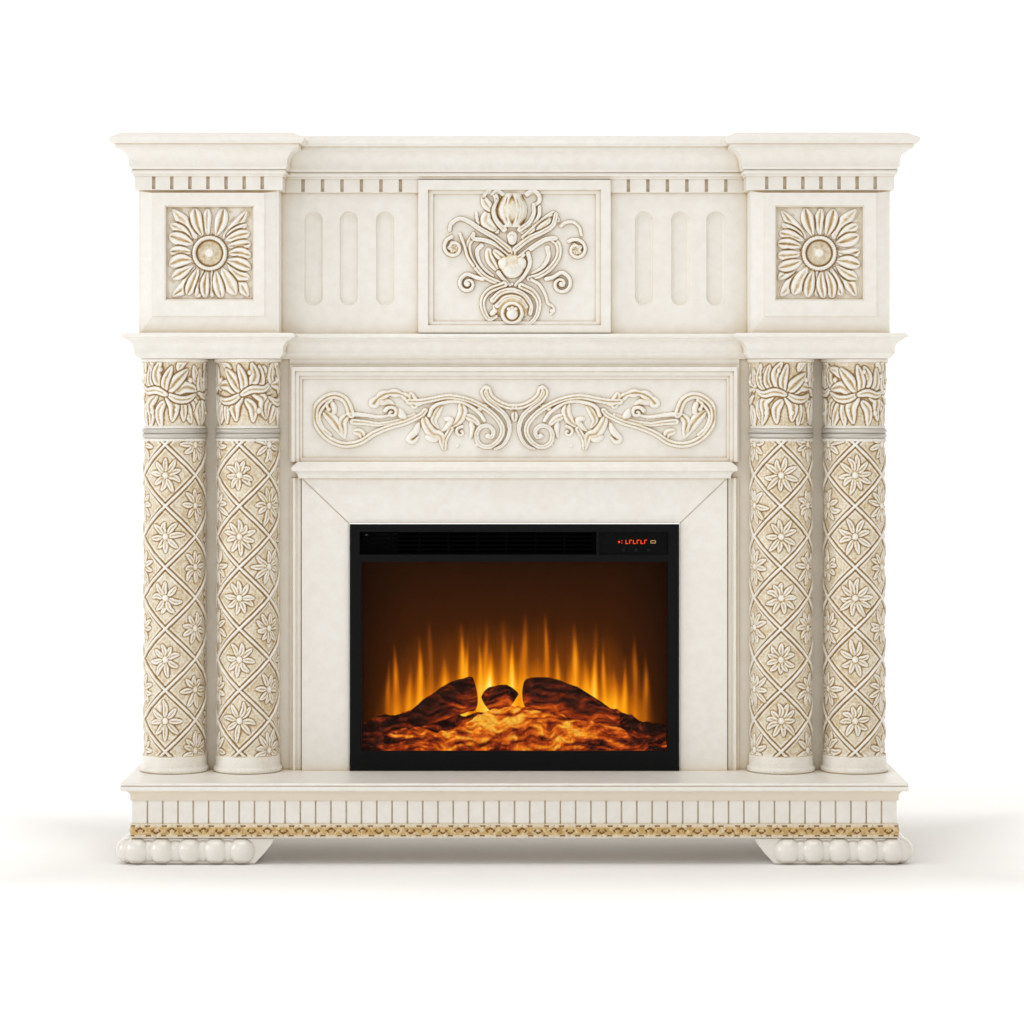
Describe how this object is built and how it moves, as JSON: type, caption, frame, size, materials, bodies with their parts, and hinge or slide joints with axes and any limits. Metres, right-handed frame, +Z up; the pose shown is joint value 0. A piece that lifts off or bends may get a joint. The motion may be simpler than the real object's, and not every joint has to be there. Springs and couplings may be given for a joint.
{
  "type": "electric fireplace",
  "caption": "Free-standing carved mantel in antique white with paired lattice columns on a hearth plinth, holding a black electric fire insert with glass front, flame screen and warm-air heater",
  "frame": {"origin": "centre of the overall box on the floor, under the feet", "axes": "X along the width, left to right seen from the front; the front faces -Y; Z up"},
  "size_m": [1.4, 0.365, 1.256],
  "materials": {
    "painted_wood": "antique white paint, brushed, with ochre glaze rubbed into the edges",
    "cast_resin": "cast ornament painted cream, ochre glaze in the hollows",
    "silver_paint": "silver-grey satin paint",
    "gilt": "antique gilt paint, worn",
    "gloss_enamel": "glossy cream enamel",
    "raw_board": "plain fibreboard",
    "black_metal": "black satin powder coat",
    "galvanised_steel": "galvanised sheet",
    "glass": "clear toughened glass",
    "smoked_plastic": null,
    "black_plastic": "black moulded plastic",
    "circuit_board": "green circuit board",
    "flame_film": "translucent flame screen, lit from behind",
    "ember_resin": "moulded log and ember bed, lit from below",
    "bright_steel": "bright steel",
    "motor_steel": "painted motor can"
  },
  "bodies": {
    "root": {"cable_gland": "black_plastic", "cartouche": "cast_resin", "centre_panel": "painted_wood", "column_inner_left": "cast_resin", "column_inner_right": "cast_resin", "column_outer_left": "cast_resin", "column_outer_right": "cast_resin", "column_rings": "silver_paint", "control_board": "circuit_board", "control_panel": "smoked_plastic", "crown_moulding": "painted_wood", "dentil_course": "painted_wood", "fan_motor": "motor_steel", "flame_screen": "flame_film", "foot_left": "gloss_enamel", "foot_right": "gloss_enamel", "frieze_board": "painted_wood", "gilt_trim": "gilt", "glass_pane": "glass", "hearth_slab": "painted_wood", "heater_case": "galvanised_steel", "heating_element": "bright_steel", "insert_face_frame": "black_metal", "insert_shell": "galvanised_steel", "led_board": "circuit_board", "ledge_moulding": "painted_wood", "log_ember_bed": "ember_resin", "mid_cornice": "painted_wood", "outlet_grille": "black_metal", "pilaster_board_left": "painted_wood", "pilaster_board_right": "painted_wood", "plinth_end_boards": "raw_board", "plinth_front_board": "raw_board", "plinth_tile_band": "painted_wood", "rear_cover": "galvanised_steel", "rear_feet": "raw_board", "rosette_left": "cast_resin", "rosette_right": "cast_resin", "screws": "bright_steel", "scroll_ornament": "cast_resin", "scroll_panel": "painted_wood", "scroll_panel_moulding": "painted_wood", "side_panel_left": "painted_wood", "side_panel_right": "painted_wood", "slab_underboard": "painted_wood", "spinner_motor": "motor_steel", "step_mouldings": "painted_wood", "surround_left": "painted_wood", "surround_right": "painted_wood", "surround_top": "painted_wood", "top_shelf": "painted_wood", "upper_block_left": "painted_wood", "upper_block_right": "painted_wood", "wall_brackets": "galvanised_steel"},
    "fan": {"fan_wheel": "bright_steel"},
    "spinner": {"flame_spinner": "bright_steel"},
    "power_key": {"button_power": "black_plastic"},
    "heat_key": {"button_heat": "black_plastic"},
    "flame_key": {"button_flame": "black_plastic"},
    "rocker": {"rocker_switch": "black_plastic"}
  },
  "joints": [
    {"name": "fan_spin", "type": "hinge", "parent": "root", "child": "fan", "pos_m": [-0.05, 0.1025, 0.538], "axis": [1, 0, 0], "continuous": true},
    {"name": "spinner_spin", "type": "hinge", "parent": "root", "child": "spinner", "pos_m": [-0.02, 0.1125, 0.215], "axis": [1, 0, 0], "continuous": true},
    {"name": "rocker_tip", "type": "hinge", "parent": "root", "child": "rocker", "pos_m": [0.2, 0.1535, 0.2], "axis": [1, 0, 0], "range_deg": [-16, 0]},
    {"name": "power_press", "type": "slide", "parent": "root", "child": "power_key", "axis": [0, 1, 0], "range_m": [0, 0.0012], "stiffness_N_per_m": 400},
    {"name": "heat_press", "type": "slide", "parent": "root", "child": "heat_key", "axis": [0, 1, 0], "range_m": [0, 0.0012], "stiffness_N_per_m": 400},
    {"name": "flame_press", "type": "slide", "parent": "root", "child": "flame_key", "axis": [0, 1, 0], "range_m": [0, 0.0012], "stiffness_N_per_m": 400}
  ]
}
